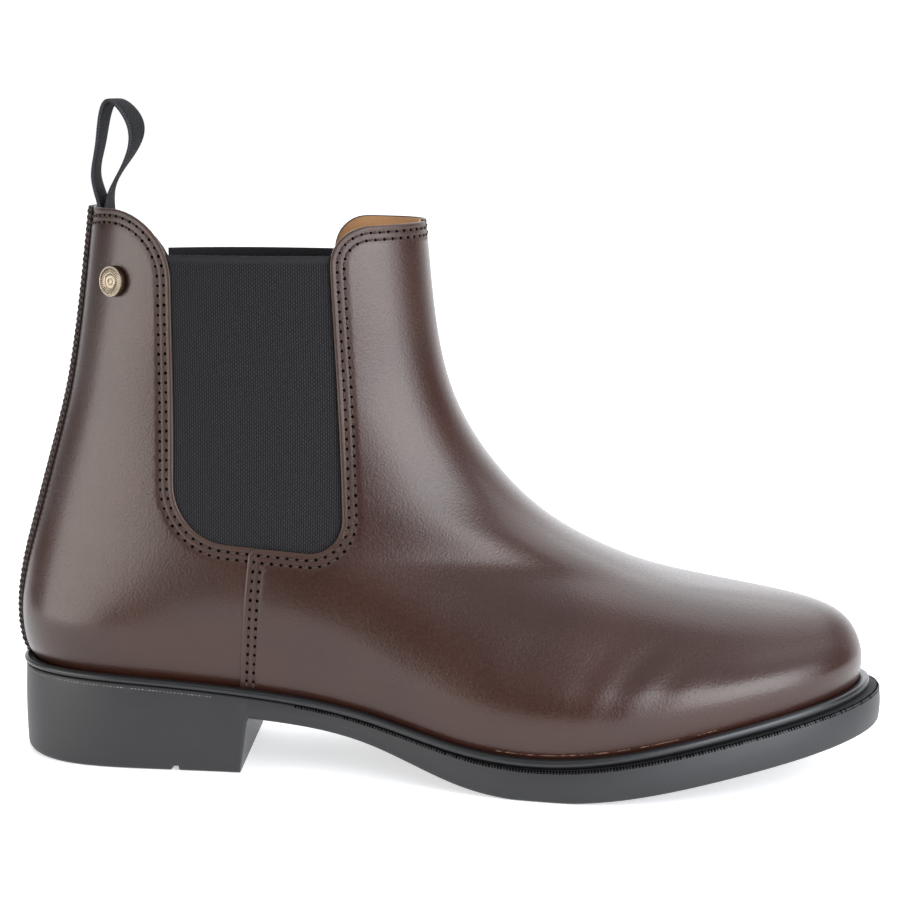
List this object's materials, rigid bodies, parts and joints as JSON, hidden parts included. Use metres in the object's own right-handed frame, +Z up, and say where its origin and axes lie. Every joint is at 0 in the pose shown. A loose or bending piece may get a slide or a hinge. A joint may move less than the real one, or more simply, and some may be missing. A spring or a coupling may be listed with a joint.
{
  "type": "jodhpur boot",
  "caption": "Ankle-high pull-on jodhpur boot in smooth brown leather with elastic side gores, a webbing pull loop at the back and a black moulded rubber sole with a low block heel.",
  "frame": {"origin": "on the floor under the middle of the boot's bounding box", "axes": "+X towards the toe, +Y towards the inner side of the foot, +Z up"},
  "size_m": [0.3035, 0.1081, 0.229],
  "materials": {
    "leather": "smooth semi-gloss",
    "insole_leather": "matt",
    "rubber": "satin",
    "elastic": "ribbed knit",
    "webbing": "woven",
    "brass": "antique"
  },
  "bodies": {
    "root": {"outsole": "rubber", "welt": "rubber", "insole": "insole_leather", "upper": "leather", "gore_outer": "elastic", "gore_inner": "elastic", "back_strip": "leather", "pull_loop": "webbing", "rivet": "brass"}
  },
  "joints": []
}
